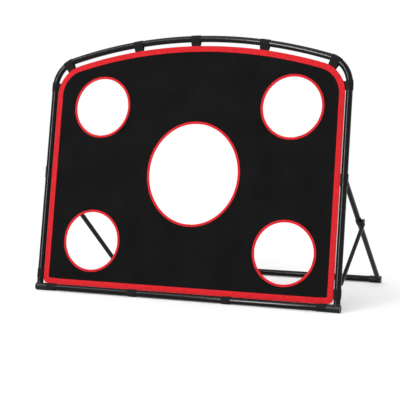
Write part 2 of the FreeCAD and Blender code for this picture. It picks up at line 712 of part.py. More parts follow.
def clamp_brackets():
    """The saddle clamp behind each upright, open in front and flattened where the border
    passes it, with a clevis for the strut's head, the bolt through the clevis and its nut."""
    body = doc.addObject("PartDesign::Body", "clamp_body")
    ring = new_sketch(body, "ClampRing", "XY_Plane")
    draw_circle(ring, "clamp_radius")
    pad(body, ring, "Sizes.clamp_length", both_ways=True)
    ear = new_sketch(body, "ClampEar", "YZ_Plane", x="Sizes.pivot_back", y="-Sizes.clamp_over_pivot")
    draw_circle(ear, "Sizes.ear_radius")
    pad(body, ear, "2 * clevis_half_width", both_ways=True)
    arm = new_sketch(body, "ClampArm", "YZ_Plane", y="-Sizes.clamp_over_pivot")
    draw_polygon(arm, [("tube_radius", "-Sizes.ear_radius"), ("Sizes.pivot_back", "-Sizes.ear_radius"),
                       ("Sizes.pivot_back", "Sizes.ear_radius"), ("tube_radius", "Sizes.ear_radius")])
    pad(body, arm, "2 * clevis_half_width", both_ways=True)
    bore = new_sketch(body, "ClampBore", "XY_Plane")
    draw_circle(bore, "clamp_bore")
    pocket(body, bore)
    slot = new_sketch(body, "ClampSlot", "XY_Plane")
    reach = "Sizes.pivot_back + 2 * Sizes.ear_radius"
    draw_polygon(slot, [("-clevis_half_gap", "clevis_floor_back"), ("clevis_half_gap", "clevis_floor_back"),
                        ("clevis_half_gap", reach), ("-clevis_half_gap", reach)])
    pocket(body, slot)
    hole = new_sketch(body, "ClampPivot", "YZ_Plane", x="Sizes.pivot_back", y="-Sizes.clamp_over_pivot")
    draw_circle(hole, "bolt_hole")
    pocket(body, hole)
    flat = new_sketch(body, "ClampFlat", "XY_Plane")
    flat_out = "-(Sizes.border_side_inset - Sizes.seat_gap)"
    draw_polygon(flat, [("-2 * clamp_radius", "-clamp_radius"), (flat_out, "-clamp_radius"),
                        (flat_out, "clamp_radius"), ("-2 * clamp_radius", "clamp_radius")])
    pocket(body, flat)
    front = new_sketch(body, "ClampFront", "XY_Plane")
    wide = "2 * clamp_radius"
    draw_polygon(front, [("-" + wide, "-" + wide), (wide, "-" + wide),
                         (wide, "-Sizes.clamp_front"), ("-" + wide, "-Sizes.clamp_front")])
    pocket(body, front)
    rivets = new_sketch(body, "ClampRivets", "XZ_Plane")
    draw_circle(rivets, "rivet_hole", "0", "Sizes.clamp_rivet_above")
    draw_circle(rivets, "rivet_hole", "0", "-Sizes.clamp_rivet_below")
    pocket(body, rivets, "2 * clamp_radius")
    lean(body, "half_width", "clamp_up")
    pair("upper_bracket", body)

    shank = cylinder("PivotShank", "bolt_radius", "2 * clevis_half_width + Sizes.bolt_head_thickness", "x",
                     "-clevis_half_width - Sizes.bolt_head_thickness")
    head = cylinder("PivotHead", "Sizes.bolt_head_diameter / 2", "Sizes.bolt_head_thickness", "x",
                    "clevis_half_width")
    bolt = join("pivot_bolt", [shank, head])
    lean(bolt, "half_width", "Sizes.pivot_up", "Sizes.pivot_back")
    mirrored_group("upper_pivot_bolts", bolt)

    hexagon = doc.addObject("Part::Prism", "PivotNutBlank")
    hexagon.Polygon = 6
    hexagon.Placement = FreeCAD.Placement(ORIGIN, FreeCAD.Rotation(Y_AXIS, 90))
    bind(hexagon, Circumradius="Sizes.bolt_head_diameter / 2", Height="Sizes.bolt_head_thickness",
         Placement__Base__x="-clevis_half_width - Sizes.bolt_head_thickness")
    through = cylinder("PivotNutHole", "bolt_hole", "3 * Sizes.bolt_head_thickness", "x",
                       "-clevis_half_width - 2 * Sizes.bolt_head_thickness")
    nut = cut("pivot_nut", hexagon, [through])
    lean(nut, "half_width", "Sizes.pivot_up", "Sizes.pivot_back")
    mirrored_group("upper_pivot_nuts", nut)


def lower_brackets():
    """The saddle on the back of each upright, its slotted lug, and the pin that the brace's
    hook hangs on. Drawn from the pin's height on the upright's axis."""
    body = doc.addObject("PartDesign::Body", "saddle_body")
    band = new_sketch(body, "SaddleBand", "XY_Plane", z="-Sizes.saddle_below_pin")
    draw_circle(band, "saddle_radius")
    pad(body, band, "Sizes.saddle_length")
    lug = new_sketch(body, "SaddleLug", "YZ_Plane")
    low = "-Sizes.saddle_below_pin"
    back = "Sizes.hook_back"
    draw_polygon(lug, [
        ("tube_radius", low),
        ("clevis_floor_back", low),
        (back + " - Sizes.lug_reach / 2", "-Sizes.lug_reach"),
        (back + " + Sizes.lug_reach / 2", "-Sizes.lug_reach"),
        (back + " + Sizes.lug_reach", "-Sizes.lug_reach / 2"),
        (back + " + Sizes.lug_reach", "Sizes.lug_reach / 2"),
        ("clevis_floor_back", "Sizes.lug_height"),
        ("tube_radius", "Sizes.lug_height"),
    ])
    pad(body, lug, "2 * lug_half_width", both_ways=True)
    bore = new_sketch(body, "SaddleBore", "XY_Plane")
    draw_circle(bore, "clamp_bore")
    pocket(body, bore)
    front = new_sketch(body, "SaddleFront", "XY_Plane")
    wide = "2 * saddle_radius"
    draw_polygon(front, [("-" + wide, "-" + wide), (wide, "-" + wide),
                         (wide, "Sizes.saddle_front"), ("-" + wide, "Sizes.saddle_front")])
    pocket(body, front)
    slot = new_sketch(body, "SaddleSlot", "XY_Plane")
    reach = back + " + 2 * Sizes.lug_reach"
    draw_polygon(slot, [("-lug_half_gap", "clevis_floor_back"), ("lug_half_gap", "clevis_floor_back"),
                        ("lug_half_gap", reach), ("-lug_half_gap", reach)])
    pocket(body, slot)
    hole = new_sketch(body, "SaddlePin", "YZ_Plane", x=back)
    draw_circle(hole, "pin_radius + Sizes.fit_gap")
    pocket(body, hole)
    rivets = new_sketch(body, "SaddleRivets", "XZ_Plane")
    draw_circle(rivets, "rivet_hole", "0", "Sizes.saddle_rivet_first")
    draw_circle(rivets, "rivet_hole", "0", "Sizes.saddle_rivet_first + Sizes.saddle_rivet_step")
    pocket(body, rivets, "2 * saddle_radius")
    lean(body, "half_width", "Sizes.hook_up")
    pair("lower_bracket", body)

    pin = doc.addObject("PartDesign::Body", "hook_pin")
    circle = new_sketch(pin, "HookPinCircle", "YZ_Plane")
    draw_circle(circle, "pin_radius")
    pad(pin, circle, "2 * lug_half_width", both_ways=True)
    lean(pin, "half_width", "Sizes.hook_up", "Sizes.hook_back")
    mirrored_group("hook_pins", pin)


def bracket_rivets():
    """The rivets that fix the clamps and saddles to the uprights, in line at the back."""
    rivets = []
    spots = [
        ("clamp_radius", "clamp_up + Sizes.clamp_rivet_above"),
        ("clamp_radius", "clamp_up - Sizes.clamp_rivet_below"),
        ("saddle_radius", "Sizes.hook_up + Sizes.saddle_rivet_first"),
        ("saddle_radius", "Sizes.hook_up + Sizes.saddle_rivet_first + Sizes.saddle_rivet_step"),
    ]
    for number, (surface, up) in enumerate(spots):
        shank = cylinder("RivetShank%d" % number, "Sizes.rivet_diameter / 2", surface + " - clamp_bore", "y",
                         y="clamp_bore")
        head = cylinder("RivetHead%d" % number, "Sizes.rivet_head_diameter / 2",
                        "Sizes.rivet_head_thickness", "y", y=surface)
        rivet = join("rivet_%d" % number, [shank, head])
        lean(rivet, "half_width", up)
        rivets += [rivet, mirrored("rivet_twin_%d" % number, rivet)]
    group("bracket_rivets", rivets)


def struts():
    """The stand's struts with the plugs that close their tops, drawn up from the foot."""
    body = tube("strut_tube", "XY_Plane", "strut_radius", "Sizes.tube_wall",
                "strut_length - Sizes.neck_length - Sizes.tee_shoulder")
    on_strut(body, "Sizes.tee_shoulder")
    pair("strut", body)

    half = "Sizes.head_thickness / 2"
    eye = cylinder("HeadEye", "Sizes.head_radius", "Sizes.head_thickness", "x", "-" + half)
    neck_length = "Sizes.neck_length - Sizes.flange_thickness"
    neck = block("HeadNeck", "-" + half, "-Sizes.head_radius", "-(%s)" % neck_length,
                 "Sizes.head_thickness", "2 * Sizes.head_radius", neck_length)
    flange = cylinder("HeadFlange", "strut_radius", "Sizes.flange_thickness", z="-Sizes.neck_length")
    stem = cylinder("HeadStem", "strut_radius - Sizes.tube_wall - Sizes.fit_gap", "Sizes.plug_length",
                    z="-Sizes.neck_length - Sizes.plug_length")
    hole = cylinder("HeadHole", "bolt_hole", "2 * Sizes.head_thickness", "x", "-Sizes.head_thickness")
    head = cut("head_plug", join("HeadSolid", [eye, neck, flange, stem]), [hole])
    on_strut(head, "strut_length")
    pair("strut_head", head)


def strut_collars():
    """The collar on each strut with the boss that the brace's eye turns against, and the
    wide-headed screw that holds the eye."""
    band = cylinder("CollarBand", "strut_radius + Sizes.fit_gap + Sizes.collar_wall", "Sizes.collar_length",
                    z="-Sizes.collar_length / 2")
    boss = cylinder("CollarBoss", "Sizes.boss_radius", "Sizes.boss_face", "x")
    bore = cylinder("CollarBore", "strut_radius + Sizes.fit_gap", "2 * Sizes.collar_length",
                    z="-Sizes.collar_length")
    screw_hole = cylinder("CollarScrewHole", "bolt_hole", "2 * Sizes.boss_face", "x")
    collar = cut("collar_solid", join("CollarSolid", [band, boss]), [bore, screw_hole])
    on_strut(collar, "collar_up_strut")
    pair("strut_collar", collar)

    start = "strut_radius + Sizes.seat_gap"
    shank = cylinder("ScrewShank", "bolt_radius", "head_inner_face - (%s)" % start, "x", start)
    head = cylinder("ScrewHead", "Sizes.washer_head_radius", "Sizes.washer_head_thickness", "x",
                    "head_inner_face")
    screw = join("brace_screw", [shank, head])
    on_strut(screw, "collar_up_strut")
    mirrored_group("brace_screws", screw)


def braces():
    """Each brace: a tube with an eye plug on the strut's collar and a hook plug that hangs
    on the lug's pin. It runs a little inward on its way down to the upright."""
    body = doc.addObject("PartDesign::Body", "brace_tube")
    ring = ring_sketch(body, "BraceRing", "XY_Plane", "brace_radius", "Sizes.tube_wall")
    skewed_tube(body, ring)
    on_brace(body)
    pair("brace", body)

    bore = "brace_radius - Sizes.tube_wall - Sizes.fit_gap"
    face = "eye_inner_face - Sizes.brace_offset"
    half_width = "Sizes.eye_neck_width / 2"
    eye = cylinder("EyeDisc", "Sizes.eye_radius", "Sizes.eye_thickness", "x", face)
    neck = block("EyeNeck", face, "-" + half_width, "0", "Sizes.eye_thickness", "Sizes.eye_neck_width",
                 "Sizes.eye_neck_length - Sizes.flange_thickness / 2")
    flange = skewed("EyeFlange", "brace_radius", "Sizes.flange_thickness",
                    "Sizes.eye_neck_length - Sizes.flange_thickness")
    stem = skewed("EyeStem", bore, "Sizes.plug_length", "Sizes.eye_neck_length")
    hole = cylinder("EyeHole", "bolt_hole", "4 * Sizes.eye_thickness", "x", face + " - Sizes.eye_thickness")
    plug = cut("eye_plug", join("EyeSolid", [eye, neck, flange, stem]), [hole])
    on_brace(plug)
    pair("brace_eye", plug)

    inner = "-Sizes.brace_offset - Sizes.hook_thickness / 2"
    disc = cylinder("HookDisc", "Sizes.hook_radius", "Sizes.hook_thickness", "x", inner, z="brace_reach")
    neck = block("HookNeck", inner, "-Sizes.hook_neck_width / 2", "brace_reach - Sizes.hook_neck_length",
                 "Sizes.hook_thickness", "Sizes.hook_neck_width", "Sizes.hook_neck_length")
    end = "brace_length - Sizes.hook_neck_length"
    flange = skewed("HookFlange", "brace_radius", "Sizes.flange_thickness", end)
    stem = skewed("HookStem", bore, "Sizes.plug_length", end + " - Sizes.plug_length")
    seat = cylinder("HookSeat", "Sizes.hook_slot_width / 2", "3 * Sizes.hook_thickness", "x",
                    "-Sizes.brace_offset - 1.5 * Sizes.hook_thickness", z="brace_reach")
    mouth = doc.addObject("Part::Box", "HookMouth")
    mouth.Placement = FreeCAD.Placement(ORIGIN, FreeCAD.Rotation(X_AXIS, -30))
    turn = "hook_slot_turn"
    half_slot = "Sizes.hook_slot_width / 2"
    bind(mouth, Length="3 * Sizes.hook_thickness", Width="2 * Sizes.hook_radius",
         Height="Sizes.hook_slot_width", Placement__Rotation__Angle="-" + turn,
         Placement__Base__x="-Sizes.brace_offset - 1.5 * Sizes.hook_thickness",
         Placement__Base__y="-%s * sin(%s)" % (half_slot, turn),
         Placement__Base__z="brace_reach - %s * cos(%s)" % (half_slot, turn))
    plug = cut("hook_plug", join("HookSolid", [disc, neck, flange, stem]), [seat, mouth])
    on_brace(plug)
    pair("brace_hook", plug)


def skewed_tube(body, ring):
    """Pads the brace's ring along its skewed line, from the eye plug to the hook plug."""
    ring.AttachmentOffset = FreeCAD.Placement(ORIGIN, FreeCAD.Rotation(Y_AXIS, -3))
    bind(ring, AttachmentOffset__Rotation__Angle="-brace_skew",
         AttachmentOffset__Base__x="-Sizes.eye_neck_length * sin(brace_skew)",
         AttachmentOffset__Base__z="Sizes.eye_neck_length * cos(brace_skew)")
    pad(body, ring, "brace_tube_length")


def skewed(name, radius, length, start):
    """A cylinder on the brace's skewed line, from a distance along it."""
    item = doc.addObject("Part::Cylinder", name)
    item.Placement = FreeCAD.Placement(ORIGIN, FreeCAD.Rotation(Y_AXIS, -3))
    bind(item, Radius=radius, Height=length, Placement__Rotation__Angle="-brace_skew",
         Placement__Base__x="-(%s) * sin(brace_skew)" % start,
         Placement__Base__z="(%s) * cos(brace_skew)" % start)
    return item


sizes = fill_sheet("Sizes", SIZES)
fill_sheet("Places", [(name, "=" + text) for name, text in PLACES])
doc.recompute()

floor_bar("bottom_rail", "bottom_rail_sleeve", "front_end_caps", "-", "Sizes.front_tee_reach")
floor_bar("rear_bar", "rear_bar_sleeve", "rear_end_caps", "", "Sizes.rear_tee_reach")
floor_tee("front_tee", "-", "Sizes.front_tee_reach", "tube_radius",
          "tube_bore - Sizes.fit_gap", "-Sizes.recline")
floor_tee("rear_tee", "", "Sizes.rear_tee_reach", "strut_radius",
          "strut_radius - Sizes.tube_wall - Sizes.fit_gap", "strut_lean")
uprights()
arch()
sheet_and_bindings()
straps()
clamp_brackets()
lower_brackets()
bracket_rivets()
struts()
strut_collars()
braces()
doc.recompute()

for item in doc.Objects:
    if "Invalid" in item.State or "Error" in item.State:
        raise SystemExit("%s could not be built: %s" % (item.Label, item.State))
for piece in pieces:
    if piece.Shape.isNull() or not piece.Shape.isValid() or not piece.Shape.Solids:
        raise SystemExit("%s has no valid shape" % piece.Label)

os.makedirs("parts", exist_ok=True)
for piece in pieces:
    piece.Shape.exportStep("parts/%s.step" % piece.Label)
    print(piece.Label, len(piece.Shape.Solids), round(piece.Shape.Volume))
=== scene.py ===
import json
import math
import bpy
from mathutils import Matrix, Vector, geometry, noise


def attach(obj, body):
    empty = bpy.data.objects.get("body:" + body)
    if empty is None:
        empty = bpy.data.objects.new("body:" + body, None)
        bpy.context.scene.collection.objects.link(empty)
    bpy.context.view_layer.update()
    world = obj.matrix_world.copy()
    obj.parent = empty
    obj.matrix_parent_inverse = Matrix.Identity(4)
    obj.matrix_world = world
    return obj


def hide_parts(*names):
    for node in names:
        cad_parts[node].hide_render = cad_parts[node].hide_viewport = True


# The looks of a golf chipping net: the fabric pieces are made here, the rest is dressed.
# Everything is in metres. The sheet, its tapes and the straps are drawn in the frame's
# own plane, where x runs across, y is the depth behind the tubes' centre lines and z
# runs up from the rail's centre line, and then leaned back.

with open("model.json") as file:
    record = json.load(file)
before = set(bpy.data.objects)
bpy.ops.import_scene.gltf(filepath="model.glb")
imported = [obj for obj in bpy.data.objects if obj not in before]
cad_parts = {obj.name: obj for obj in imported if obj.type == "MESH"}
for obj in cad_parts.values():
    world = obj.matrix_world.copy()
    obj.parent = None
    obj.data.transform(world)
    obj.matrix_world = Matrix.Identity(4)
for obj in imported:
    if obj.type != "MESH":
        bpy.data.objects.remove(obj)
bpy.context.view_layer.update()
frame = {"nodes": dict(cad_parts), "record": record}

# The frame's plane
RECLINE = math.radians(10.39)
AXIS_HEIGHT = 0.0141
HALF_DEPTH = 0.330
HALF_WIDTH = 0.600
FRAME_HEIGHT = 0.976
ARCH_RADIUS = 1.820
ARCH_CENTRE = FRAME_HEIGHT - ARCH_RADIUS
BEND_RADIUS = 0.110
BEND_CENTRE_OUT = HALF_WIDTH - BEND_RADIUS
ARCH_SWEEP = math.asin(BEND_CENTRE_OUT / (ARCH_RADIUS - BEND_RADIUS))
BEND_CENTRE_UP = ARCH_CENTRE + math.sqrt((ARCH_RADIUS - BEND_RADIUS) ** 2 - BEND_CENTRE_OUT ** 2)
TUBE_RADIUS = 0.0125
LEAN = Matrix.Translation((0, -HALF_DEPTH, AXIS_HEIGHT)) @ Matrix.Rotation(-RECLINE, 4, "X")

# The sheet and its holes
SHEET_BACK = 0.0
SHEET_THICKNESS = 0.0012
SHEET_EDGE_INSET = 0.0015
HOLE_RADIUS = 0.1118
ROUND_HOLES = {
    "top_left": (-0.3829, 0.7141),
    "top_right": (0.3917, 0.7162),
    "bottom_left": (-0.3861, 0.1896),
    "bottom_right": (0.3938, 0.1834),
}
OVAL_CENTRE = (0.0191, 0.4607)
OVAL_HALVES = (0.1794, 0.1899)
HOLES = (*ROUND_HOLES, "centre")

# The border's outer edge, measured in from the tubes' centre lines, and its corners
BORDER_SIDE_INSET = 0.0143
BORDER_BOTTOM = 0.0148
BORDER_TOP_INSET = 0.027
TOP_CORNER = 0.121
BOTTOM_CORNER = 0.018
SMALLEST_CORNER = 0.001

# The bottom edge's sag, and how far from the middle and over what length it ends
BOTTOM_SAG = 0.0022
SAG_END = 0.555
SAG_FADE = 0.03

# Red tapes, folded over the edges. Faint ridges run across them: a share of the tape's
# thickness, and radians of their wave in a metre. A crumple and a bow each have a size and
# about so many bumps in a metre.
BORDER_WIDTH = 0.022
HOLE_TAPE_WIDTH = 0.009
TAPE_HALF_THICKNESS = 0.0016
RIDGE_SHARE = 0.12
RIDGE_TURN = 900
CRUMPLE, CRUMPLES = 0.00013, 160
BOW, BOWS = 0.0004, 22

# Stitches: how far in from the tape's edges they run, how deep they lie and how far apart
STITCH_LENGTH = 0.0033
STITCH_WIDTH = 0.0006
STITCH_RISE = 0.0003
BORDER_STITCHES = {"inset": 0.0031, "depth": 0.0014, "pitch": 0.0042}
HOLE_STITCHES = {"inset": 0.0014, "depth": 0.00135, "pitch": 0.0038}

# Straps. Their edges wave and their faces puff up, each with a size and about so many
# bumps in a metre.
STRAP_WIDTH = 0.036
STRAP_THICKNESS = 0.0011
STRAP_CLEARANCE = 0.0003
STRAP_TONGUE = 0.0215
TONGUE_BACK = SHEET_BACK + 0.0025
TONGUE_EASE = 0.001
LAYER_GAP = 0.00008
CORNER_NECK = 0.0297
CORNER_TURNS = {"left": math.radians(14.5), "right": math.radians(14.3)}
ARCH_STRAPS = (-0.244, -0.004, 0.274)
RAIL_STRAPS = (-0.546, -0.195, 0.186, 0.546)
LOWER_SIDE_STRAP_UP = 0.051
EDGE_WAVE, EDGE_WAVES = 0.0003, 60
PUFF, PUFFS = 0.00025, 45

# Where a strap's bent part starts, as a share of its half width: all of it, the upper
# half, or none
ALL_BENT, HALF_BENT, STRAIGHT = -2.0, 0.0, 2.0

# The tight sheet's unevenness: broad hollows, and creases that fan from each strap. It
# fades out near the tapes, which hold the sheet flat.
HOLLOW_DEPTH = 0.0016
HOLLOWS_ACROSS, HOLLOWS_UP, HOLLOW_SEED = 3.1, 3.7, 2.3
CREASE_DEPTH = 0.0006
CREASE_REACH = 0.11
CREASES = 11
CREASE_SHIFT = 9
FLAT_MARGIN = 0.008
RELIEF_FADE = 0.05
PULLS = [(-0.525, 0.869), (-0.24, 0.933), (0.0, 0.949), (0.27, 0.929), (0.525, 0.869),
         (-0.585, 0.795), (0.585, 0.795), (-0.585, 0.051), (0.585, 0.051),
         (-0.546, 0.015), (-0.195, 0.015), (0.186, 0.015), (0.546, 0.015)]

# How finely the fabric is drawn: the sheet's triangles, and the points on each outline
GRID_STEP = 0.0095
GRID_MARGIN = 0.004
OUTLINE_STEPS = {"bottom": 200, "bottom corner": 10, "side": 130, "top corner": 18, "top": 190}
HOLE_STEPS = 120
OVAL_STEPS = 180
TONGUE_STEPS = 8
LOOP_STEPS = 40

# Colours, each as its darkest and lightest shade
COAT_SHADES = ((0.0035, 0.0035, 0.0038), (0.0058, 0.0058, 0.0064))
STEEL_SHADES = ((0.30, 0.30, 0.31), (0.46, 0.46, 0.47))
FASTENER_SHADES = ((0.018, 0.018, 0.019), (0.06, 0.06, 0.062))
SHEET_SHADES = ((0.0062, 0.0062, 0.0064), (0.0094, 0.0094, 0.0095))
RED_SHADES = ((0.68, 0.012, 0.018), (0.88, 0.022, 0.032))
WEBBING_SHADES = ((0.0065, 0.0065, 0.007), (0.0125, 0.0125, 0.013))
THREAD_SHADES = ((0.50, 0.010, 0.016), (0.72, 0.020, 0.030))
FLOOR_SHADES = ((0.925, 0.925, 0.925), (0.93, 0.93, 0.93))

# How far the edges of moulded pieces are rounded, where their faces meet at more than an angle
SOFT_EDGES = {"moulded_fitting": 0.0014, "moulded_bracket": 0.0007}
SOFT_EDGE_STEPS = 3
SOFT_EDGE_ANGLE = math.radians(50)

# Studio: the brightness of the surround that lights the object, the lift of the floor, and
# the lamps. A lamp that only shines makes gleams and adds nothing to the light level.
SURROUND = 0.50
FLOOR_LIFT = 0.19
FLOOR_SIZE = 60
SUN_POWER = 1.25
SUN_ANGLE = math.radians(60)
SUN_TILT = (math.radians(18), math.radians(-12), 0)
LAMPS = [
    {"name": "left", "at": (-0.85, -3.4, 1.3), "toward": (0.0, -0.1, 0.45), "size": (0.16, 2.2),
     "power": 24, "only_shines": False},
    {"name": "above", "at": (0.2, -2.6, 2.8), "toward": (0.0, -0.1, 0.5), "size": (3.4, 0.12),
     "power": 10, "only_shines": False},
    {"name": "right", "at": (2.7, 1.2, 1.1), "toward": (0.3, -0.1, 0.45), "size": (0.30, 2.0),
     "power": 6, "only_shines": False},
    {"name": "left_gleam", "at": (-0.85, -3.5, 1.4), "toward": (0.0, -0.1, 0.45), "size": (0.5, 1.5),
     "power": 105, "only_shines": True},
    {"name": "top_gleam", "at": (-2.3, -2.7, 2.9), "toward": (-0.4, -0.1, 0.6), "size": (4.2, 0.28),
     "power": 135, "only_shines": True},
]

# The photograph's view
VIEW_AZIMUTH = math.radians(22.361)
VIEW_ELEVATION = math.radians(5.310)
VIEW_DISTANCE = 3.7507
VIEW_TARGET = Vector((0.0828, -0.330, 0.3789))
VIEW_LENS = 92.23
VIEW_SENSOR = 36


# Node helpers

def node(tree, kind, inputs=None, **settings):
    """Adds a shader node, sets it, and fills its inputs with values or other nodes' outputs."""
    item = tree.nodes.new(kind)
    for name, value in settings.items():
        setattr(item, name, value)
    for name, value in (inputs or {}).items():
        if isinstance(value, bpy.types.NodeSocket):
            tree.links.new(value, item.inputs[name])
        else:
            item.inputs[name].default_value = value
    return item


def maths(tree, operation, *values):
    """One step of arithmetic on up to three values or outputs."""
    return node(tree, "ShaderNodeMath", dict(enumerate(values)), operation=operation).outputs[0]


def spots(tree, scale, detail=2.0):
    """Soft noise over the piece, whose features are about 1 / scale metres across."""
    where = node(tree, "ShaderNodeTexCoord").outputs["Object"]
    noise_node = node(tree, "ShaderNodeTexNoise", {"Vector": where, "Scale": scale, "Detail": detail})
    return noise_node.outputs["Fac"]


def shades(tree, factor, dark, light, low=0.3, high=0.7):
    """A colour that runs from dark to light as the factor rises."""
    ramp = node(tree, "ShaderNodeValToRGB", {"Fac": factor})
    for element, position, colour in zip(ramp.color_ramp.elements, (low, high), (dark, light)):
        element.position = position
        element.color = (*colour, 1.0)
    return ramp.outputs["Color"]


def span(tree, factor, low, high):
    """Maps a 0 to 1 factor onto a range of values."""
    spread = node(tree, "ShaderNodeMapRange", {"Value": factor, "To Min": low, "To Max": high})
    return spread.outputs["Result"]


def ripple(tree, distance, pitch):
    """A wave of bars from 0 to 1, one each pitch."""
    turns = maths(tree, "MULTIPLY", distance, 2 * math.pi / pitch)
    return maths(tree, "MULTIPLY_ADD", maths(tree, "SINE", turns), 0.5, 0.5)


def thread_place(tree):
    """The distances along and across the cloth, from its UV map in metres."""
    parts = node(tree, "ShaderNodeSeparateXYZ", {"Vector": node(tree, "ShaderNodeUVMap").outputs["UV"]})
    return parts.outputs["X"], parts.outputs["Y"]


def surface(name, colour, roughness, height, depth, **constants):
    """A material from a colour, a roughness and a height in metres, all from nodes."""
    material = bpy.data.materials.new(name)
    material.use_nodes = True
    tree = material.node_tree
    shader = tree.nodes["Principled BSDF"]
    for socket, value in constants.items():
        shader.inputs[socket.replace("_", " ")].default_value = value
    tree.links.new(colour(tree), shader.inputs["Base Color"])
    tree.links.new(roughness(tree), shader.inputs["Roughness"])
    bump = node(tree, "ShaderNodeBump", {"Height": height(tree), "Distance": depth, "Strength": 1.0})
    tree.links.new(bump.outputs["Normal"], shader.inputs["Normal"])
    return material


# Materials

def powder_coat():
    """Gloss black coating on steel tube: faint orange peel and a little dust."""
    return surface(
        "black_powder_coat",
        lambda t: shades(t, spots(t, 60, 4), *COAT_SHADES),
        lambda t: span(t, spots(t, 35, 5), 0.11, 0.15),
        lambda t: spots(t, 500),
        0.000008,
        Specular_IOR_Level=0.12,
    )


def moulded(name, shade, low, high, grain):
    """Black moulded nylon with a fine cast grain."""
    return surface(
        name,
        lambda t: shades(t, spots(t, 90, 4), (shade * 0.8,) * 3, (shade * 1.25,) * 3),
        lambda t: span(t, spots(t, 50, 4), low, high),
        lambda t: spots(t, 1600, 3),
        grain,
        Specular_IOR_Level=0.14,
    )


def steel():
    """Drawn steel of the sleeves inside the joints."""
    return surface(
        "drawn_steel",
        lambda t: shades(t, spots(t, 220, 5), *STEEL_SHADES),
        lambda t: span(t, spots(t, 400, 3), 0.28, 0.45),
        lambda t: spots(t, 2500),
        0.00002,
        Metallic=1.0,
    )


def fastener():
    """Blackened steel bolts, pins and rivets, worn a little lighter in spots."""
    return surface(
        "blackened_steel",
        lambda t: shades(t, spots(t, 300, 5), *FASTENER_SHADES, low=0.45, high=0.85),
        lambda t: span(t, spots(t, 180, 4), 0.25, 0.42),
        lambda t: spots(t, 2200),
        0.00003,
        Metallic=0.6,
    )


def woven(tree, pitch):
    """The height of a plain weave: threads that pass over and under each other."""
    along, across = thread_place(tree)
    return maths(tree, "MULTIPLY", ripple(tree, along, pitch), ripple(tree, across, pitch))


def sheet_cloth():
    """Black woven polyester with a coated, matt face."""
    return surface(
        "black_oxford_cloth",
        lambda t: shades(t, spots(t, 9, 6), *SHEET_SHADES),
        lambda t: span(t, spots(t, 40, 4), 0.72, 0.9),
        lambda t: woven(t, 0.0011),
        0.00018,
        Specular_IOR_Level=0.015,
        Sheen_Weight=0.01,
        Sheen_Roughness=0.5,
    )


def ribs(tree, pitch):
    """The height of a ribbed tape: ribs along its length and softer, finer ones across it."""
    along, across = thread_place(tree)
    fine = maths(tree, "MULTIPLY", ripple(tree, across, pitch * 0.8), 0.4)
    return maths(tree, "ADD", ripple(tree, along, pitch), fine)


def ribbed_cloth(name, dark_and_light, pitch, specular):
    """Woven tape or webbing."""
    return surface(
        name,
        lambda t: shades(t, spots(t, 130, 6), *dark_and_light),
        lambda t: span(t, spots(t, 70, 4), 0.68, 0.88),
        lambda t: ribs(t, pitch),
        0.00022,
        Specular_IOR_Level=specular,
        Sheen_Weight=0.03,
        Sheen_Roughness=0.45,
    )


def thread():
    """Twisted red sewing thread."""
    return surface(
        "red_thread",
        lambda t: shades(t, spots(t, 900, 3), *THREAD_SHADES),
        lambda t: span(t, spots(t, 500), 0.5, 0.7),
        lambda t: spots(t, 3500),
        0.00008,
        Specular_IOR_Level=0.25,
    )


# Mesh helpers

def make_piece(name, points, faces, cloth, uvs=None):
    """A mesh drawn in the frame's plane and leaned back with it. uvs holds a place per point."""
    mesh = bpy.data.meshes.new(name)
    mesh.from_pydata([tuple(LEAN @ Vector(point)) for point in points], [], faces)
    if uvs:
        layer = mesh.uv_layers.new(name="Weave")
        for loop in mesh.loops:
            layer.data[loop.index].uv = uvs[loop.vertex_index]
    mesh.polygons.foreach_set("use_smooth", [True] * len(mesh.polygons))
    mesh.materials.append(cloth)
    mesh.update()
    piece = bpy.data.objects.new(name, mesh)
    bpy.context.scene.collection.objects.link(piece)
    return piece


def ribbon(rows, closed):
    """Faces between rows of points, each row a closed loop round the ribbon's section."""
    count, size = len(rows), len(rows[0])
    faces = []
    for i in range(count if closed else count - 1):
        for j in range(size):
            a, b = i * size, (i + 1) % count * size
            k = (j + 1) % size
            faces.append((a + j, b + j, b + k, a + k))
    return [point for row in rows for point in row], faces


def shifted(faces, first):
    """The same faces for points that start at another place in a list."""
    return [tuple(first + i for i in face) for face in faces]


def clamp(share):
    return min(max(share, 0.0), 1.0)


def between(start, end, steps):
    """Evenly spaced values from start to end, without the two ends."""
    return [start + (end - start) * i / steps for i in range(1, steps)]


def arc(x, z, radius, start, end, steps):
    """Points on an arc in the frame's plane, angles from +x in radians."""
    return [(x + radius * math.cos(a), z + radius * math.sin(a))
            for a in (start + (end - start) * i / steps for i in range(steps + 1))]


def oval(x, z, wide, high, steps):
    return [(x + wide * math.cos(a), z + high * math.sin(a))
            for a in (2 * math.pi * i / steps for i in range(steps))]


def along(points):
    """The distance along a line at each of its points."""
    places = [0.0]
    for first, second in zip(points, points[1:]):
        places.append(places[-1] + math.dist(first, second))
    return places


def uneven(x, z, size, per_metre, seed):
    """A smoothly changing amount up to the given size, with about so many bumps in a metre."""
    return size * noise.noise(Vector((x * per_metre, z * per_metre, seed)))


# The sheet's edges

def sag(x):
    """How far the bottom edge hangs toward the rail, away from the tees at its ends."""
    return BOTTOM_SAG * clamp((SAG_END - abs(x)) / SAG_FADE)


